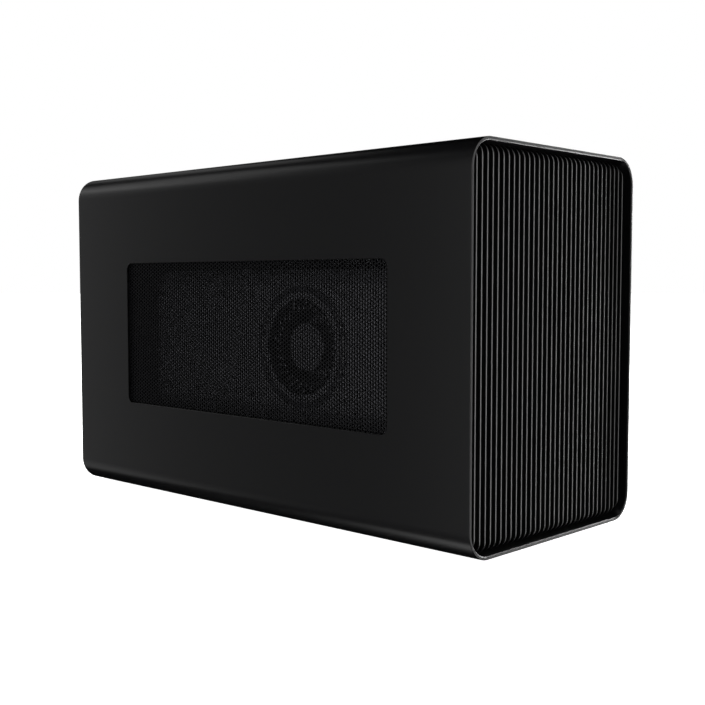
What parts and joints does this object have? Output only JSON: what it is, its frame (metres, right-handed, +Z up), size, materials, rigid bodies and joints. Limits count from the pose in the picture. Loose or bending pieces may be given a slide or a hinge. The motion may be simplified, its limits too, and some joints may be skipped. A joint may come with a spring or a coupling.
{
  "type": "external graphics card enclosure",
  "caption": "Upright black aluminium enclosure with a finned front and a mesh side window over a blower-type graphics card on a pull-out drawer.",
  "frame": {"origin": "on the ground, midway between the sides, and midway between the sleeve's front edge and the folded handle", "axes": "+Z up; the finned front faces -Y and the drawer slides out along +Y; the window is on the -X side"},
  "size_m": [0.167, 0.374, 0.23],
  "materials": {
    "sleeve_coat": "satin",
    "fin_coat": "matte",
    "black_mesh": "matte",
    "chassis_steel": "satin",
    "panel_coat": "matte",
    "case_coat": "matte",
    "bright_steel": "satin",
    "bright_wire": "gloss",
    "screw_steel": "satin",
    "thumb_coat": "satin",
    "foot_rubber": "matte",
    "rail_plastic": "matte",
    "handle_plastic": "matte",
    "fan_plastic": "matte",
    "rotor_plastic": "satin",
    "socket_plastic": "matte",
    "latch_plastic": "matte",
    "carrier_laminate": "satin",
    "card_laminate": "satin",
    "supply_laminate": "satin",
    "standoff_brass": "satin",
    "sink_aluminium": "satin",
    "motor_metal": "satin",
    "shroud_plastic": "satin",
    "back_coat": "matte",
    "pin_plate": "satin"
  },
  "bodies": {
    "enclosure": {"sleeve": "sleeve_coat", "window_mesh": "black_mesh", "vent_mesh": "black_mesh", "front_fin_panel": "fin_coat", "front_bulkhead": "panel_coat", "feet": "foot_rubber", "guide_rails": "rail_plastic"},
    "drawer": {"base_tray": "chassis_steel", "rear_panel": "panel_coat", "centre_wall": "chassis_steel", "board_shelf": "chassis_steel", "fan_bracket": "chassis_steel", "handle_bracket": "panel_coat", "handle_pins": "screw_steel", "supply_case": "case_coat", "supply_cover": "case_coat", "supply_circuit": "supply_laminate", "supply_fan_frame": "fan_plastic", "supply_fan_guard": "bright_wire", "mains_inlet": "socket_plastic", "mains_pins": "pin_plate", "switch_housing": "socket_plastic", "supply_screws": "screw_steel", "case_fan_frame": "fan_plastic", "case_fan_screws": "screw_steel", "carrier_board": "carrier_laminate", "board_standoffs": "standoff_brass", "card_slot": "socket_plastic", "controller_heatsink": "sink_aluminium", "power_socket": "socket_plastic", "usb_c_socket": "bright_steel", "card_board": "card_laminate", "card_backplate": "back_coat", "card_bracket": "bright_steel", "video_sockets": "bright_steel", "card_power_sockets": "socket_plastic", "card_heatsink": "sink_aluminium", "blower_motor": "motor_metal", "card_shroud": "shroud_plastic", "shroud_screws": "screw_steel", "slot_cover": "panel_coat", "thumbscrews": "thumb_coat"},
    "handle": {"handle": "handle_plastic"},
    "rocker": {"switch_rocker": "rotor_plastic"},
    "latch": {"card_latch": "latch_plastic"},
    "case_rotor": {"case_fan_rotor": "rotor_plastic"},
    "supply_rotor": {"supply_fan_rotor": "rotor_plastic"},
    "blower": {"blower_rotor": "rotor_plastic"}
  },
  "joints": [
    {"name": "drawer_slide", "type": "slide", "parent": "enclosure", "child": "drawer", "axis": [0, 1, 0], "range_m": [0, 0.33]},
    {"name": "handle_hinge", "type": "hinge", "parent": "drawer", "child": "handle", "pos_m": [0, 0.18, 0.215], "axis": [1, 0, 0], "range_deg": [0, 90]},
    {"name": "rocker_hinge", "type": "hinge", "parent": "drawer", "child": "rocker", "pos_m": [0.013, 0.166, 0.139], "axis": [1, 0, 0], "range_deg": [0, 18]},
    {"name": "latch_hinge", "type": "hinge", "parent": "drawer", "child": "latch", "pos_m": [-0.0182, 0.0338, 0.0498], "axis": [1, 0, 0], "range_deg": [0, 30]},
    {"name": "case_fan_spin", "type": "hinge", "parent": "drawer", "child": "case_rotor", "pos_m": [0.065, -0.06595, 0.098], "axis": [1, 0, 0], "continuous": true},
    {"name": "supply_fan_spin", "type": "hinge", "parent": "drawer", "child": "supply_rotor", "pos_m": [0.064, 0.0995, 0.0868], "axis": [1, 0, 0], "continuous": true},
    {"name": "blower_spin", "type": "hinge", "parent": "drawer", "child": "blower", "pos_m": [-0.04, -0.0304, 0.11095], "axis": [1, 0, 0], "continuous": true}
  ]
}
